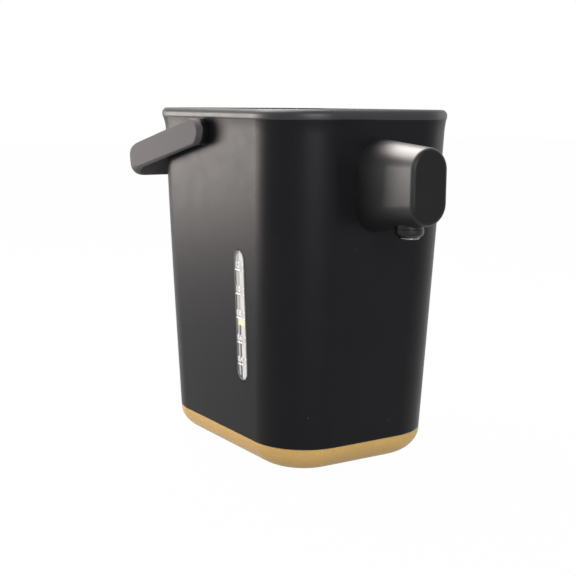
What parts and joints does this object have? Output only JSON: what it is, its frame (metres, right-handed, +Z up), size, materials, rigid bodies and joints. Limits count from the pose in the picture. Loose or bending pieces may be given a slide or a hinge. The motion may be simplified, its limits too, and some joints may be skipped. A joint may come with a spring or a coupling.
{
  "type": "electric thermo pot",
  "caption": "Tapered black water boiler and warmer with a curved gold base, front spout pod, side water gauge, swinging bail handle and hinged lid over a control panel.",
  "frame": {"origin": "on the resting surface, under the middle of the body", "axes": "+Z up, -Y towards the spout, -X towards the water gauge side"},
  "size_m": [0.1708, 0.277, 0.25],
  "materials": {
    "black_shell": "fine satin texture",
    "gloss_trim": "glossy black",
    "gold_base": "satin gold metallic paint",
    "handle_plastic": "fine satin texture",
    "panel_face": "semi-gloss black film",
    "button_plastic": "satin grey",
    "accent_button": "satin gold",
    "clear_window": "clear polished acrylic",
    "scale_print": "grey printed plate",
    "silicone": "translucent white silicone",
    "dark_rubber": "matte black rubber",
    "stainless": "satin stainless steel",
    "zinc_steel": "bright zinc plating",
    "inner_plastic": "natural moulded plastic",
    "white_plastic": "natural white moulded plastic",
    "insulation": "felted glass fibre",
    "heater_film": "mica and foil laminate",
    "circuit_board": "green laminate",
    "electronics": "moulded black",
    "copper_pins": "plated contact metal",
    "magnet": "sintered ferrite",
    "dark_base": "moulded black"
  },
  "bodies": {
    "pot": {"base_skirt": "gold_base", "board_components": "electronics", "bottom_plate": "dark_base", "case_screws": "zinc_steel", "chassis": "inner_plastic", "container": "stainless", "container_gasket": "silicone", "container_stand": "zinc_steel", "control_panel": "panel_face", "display_lens": "gloss_trim", "gauge_scale": "scale_print", "gauge_tube": "clear_window", "gauge_window": "clear_window", "heater": "heater_film", "heater_clamp": "zinc_steel", "hoses": "silicone", "inlet_pins": "copper_pins", "insulation_sleeve": "insulation", "lid_hinge_pin": "zinc_steel", "motor_bracket": "inner_plastic", "motor_can": "zinc_steel", "nozzle": "gloss_trim", "nozzle_lip": "dark_rubber", "outer_shell": "black_shell", "panel_board": "circuit_board", "panel_components": "electronics", "pivot_bosses": "gloss_trim", "pivot_pins": "zinc_steel", "power_board": "circuit_board", "power_inlet": "gloss_trim", "pump_cover": "white_plastic", "pump_housing": "white_plastic", "pump_seal": "dark_rubber", "rubber_feet": "dark_rubber", "spill_valve": "white_plastic", "spout_cover": "gloss_trim", "spout_pipe": "stainless", "temperature_sensor": "zinc_steel", "thermal_fuse": "white_plastic", "top_collar": "black_shell"},
    "carry_handle": {"handle": "handle_plastic"},
    "lid": {"lid_cover": "black_shell", "lid_base": "inner_plastic", "lid_screws": "zinc_steel", "lid_inner_plate": "stainless", "lid_gasket": "silicone", "lid_insulation": "insulation", "steam_vent_cap": "gloss_trim", "lever_pin": "zinc_steel", "lever_spring": "zinc_steel"},
    "lid_lever": {"lid_lever": "gloss_trim"},
    "lid_latch": {"lid_latch": "inner_plastic"},
    "keep_warm_button": {"keep_warm_button": "button_plastic"},
    "reboil_button": {"reboil_button": "button_plastic"},
    "dispense_button": {"dispense_button": "accent_button"},
    "unlock_button": {"unlock_button": "button_plastic"},
    "motor_rotor": {"motor_shaft": "zinc_steel", "drive_magnet": "magnet"},
    "impeller": {"impeller": "white_plastic"},
    "valve_ball": {"valve_ball": "stainless"}
  },
  "joints": [
    {"name": "handle_swing", "type": "hinge", "parent": "pot", "child": "carry_handle", "pos_m": [0, 0.0098, 0.2333], "axis": [1, 0, 0], "range_deg": [0, 115]},
    {"name": "lid_hinge", "type": "hinge", "parent": "pot", "child": "lid", "pos_m": [0, 0.082, 0.245], "axis": [-1, 0, 0], "range_deg": [0, 85]},
    {"name": "lever_tilt", "type": "hinge", "parent": "lid", "child": "lid_lever", "pos_m": [0, -0.025, 0.2472], "axis": [-1, 0, 0], "range_deg": [0, 40]},
    {"name": "latch_slide", "type": "slide", "parent": "lid", "child": "lid_latch", "axis": [0, 1, 0], "range_m": [0, 0.0032], "stiffness_N_per_m": 1200, "springref_m": -0.001},
    {"name": "keep_warm_press", "type": "slide", "parent": "pot", "child": "keep_warm_button", "axis": [0, 0, -1], "range_m": [0, 0.001], "stiffness_N_per_m": 300, "springref_m": -0.002},
    {"name": "reboil_press", "type": "slide", "parent": "pot", "child": "reboil_button", "axis": [0, 0, -1], "range_m": [0, 0.001], "stiffness_N_per_m": 300, "springref_m": -0.002},
    {"name": "dispense_press", "type": "slide", "parent": "pot", "child": "dispense_button", "axis": [0, 0, -1], "range_m": [0, 0.001], "stiffness_N_per_m": 300, "springref_m": -0.002},
    {"name": "unlock_press", "type": "slide", "parent": "pot", "child": "unlock_button", "axis": [0, 0, -1], "range_m": [0, 0.001], "stiffness_N_per_m": 300, "springref_m": -0.002},
    {"name": "motor_spin", "type": "hinge", "parent": "pot", "child": "motor_rotor", "pos_m": [0, -0.064, 0.02], "axis": [0, 0, 1], "continuous": true},
    {"name": "impeller_spin", "type": "hinge", "parent": "pot", "child": "impeller", "pos_m": [0, -0.064, 0.033], "axis": [0, 0, 1], "continuous": true},
    {"name": "ball_lift", "type": "slide", "parent": "pot", "child": "valve_ball", "axis": [0, 0, 1], "range_m": [0, 0.006]}
  ],
  "couplings": [
    {"joint": "lever_tilt", "follows": "latch_slide", "rad_per_m": 218},
    {"joint": "impeller_spin", "follows": "motor_spin", "ratio": 1}
  ]
}
